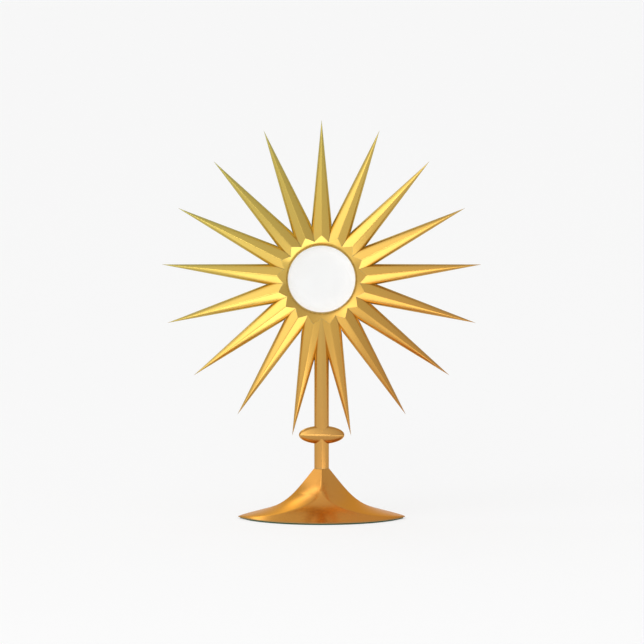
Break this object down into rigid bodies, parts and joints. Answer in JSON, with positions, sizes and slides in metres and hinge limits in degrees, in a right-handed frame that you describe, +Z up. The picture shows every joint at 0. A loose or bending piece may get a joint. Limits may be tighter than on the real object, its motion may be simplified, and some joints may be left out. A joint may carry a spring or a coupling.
{
  "type": "monstrance",
  "caption": "Gilt sunburst monstrance on a flared pointed-oval foot; a glazed round capsule holding the Host slides out of the back and opens on a hinged glass door.",
  "frame": {"origin": "centre of the underside at the rest plane", "axes": "+Z up; the front, with the bezel and the Host, faces -Y; +X to the right seen from the front"},
  "size_m": [0.3186, 0.12, 0.4005],
  "materials": {
    "gilt_brass": "polished gilt, warm gold, soft ridges",
    "gilt_brass_rear": "satin gilt",
    "steel": "plain turned steel",
    "clear_glass": "clear flat glass",
    "gasket": "thin black sealing ring",
    "host_wafer": "matt white unleavened wafer",
    "ballast": "rough cast plate",
    "felt": "green wool felt"
  },
  "bodies": {
    "stand": {"ray_01": "gilt_brass", "ray_02": "gilt_brass", "ray_03": "gilt_brass", "ray_04": "gilt_brass", "ray_05": "gilt_brass", "ray_06": "gilt_brass", "ray_07": "gilt_brass", "ray_08": "gilt_brass", "ray_09": "gilt_brass", "ray_10": "gilt_brass", "ray_11": "gilt_brass", "ray_12": "gilt_brass", "ray_13": "gilt_brass", "ray_14": "gilt_brass", "ray_15": "gilt_brass", "ray_16": "gilt_brass", "ray_17": "gilt_brass", "front_bezel": "gilt_brass", "upper_stem": "gilt_brass", "lower_stem": "gilt_brass", "knop": "gilt_brass", "foot_shell": "gilt_brass", "glory_ring": "gilt_brass_rear", "ray_screw_01": "steel", "ray_screw_02": "steel", "ray_screw_03": "steel", "ray_screw_04": "steel", "ray_screw_05": "steel", "ray_screw_06": "steel", "ray_screw_07": "steel", "ray_screw_08": "steel", "ray_screw_09": "steel", "ray_screw_10": "steel", "ray_screw_11": "steel", "ray_screw_12": "steel", "ray_screw_13": "steel", "ray_screw_14": "steel", "ray_screw_15": "steel", "ray_screw_16": "steel", "ray_screw_17": "steel", "stem_screw_1": "steel", "stem_screw_2": "steel", "bezel_screw_1": "steel", "bezel_screw_2": "steel", "bezel_screw_3": "steel", "tie_rod": "steel", "nut": "steel", "washer": "steel", "front_glass": "clear_glass", "glass_gasket": "gasket", "base_plate": "ballast", "felt_pad": "felt"},
    "luna": {"luna_body": "gilt_brass_rear", "luna_glass": "clear_glass", "lunette": "gilt_brass_rear", "host": "host_wafer", "hinge_pin": "gilt_brass_rear"},
    "rear_door": {"luna_door": "gilt_brass_rear", "door_glass": "clear_glass"}
  },
  "joints": [
    {"name": "luna_slide", "type": "slide", "parent": "stand", "child": "luna", "axis": [0, 1, 0], "range_m": [0, 0.0125]},
    {"name": "luna_door_hinge", "type": "hinge", "parent": "luna", "child": "rear_door", "pos_m": [0.047, 0.0219, 0.2405], "axis": [0, 0, -1], "range_deg": [0, 110]}
  ]
}
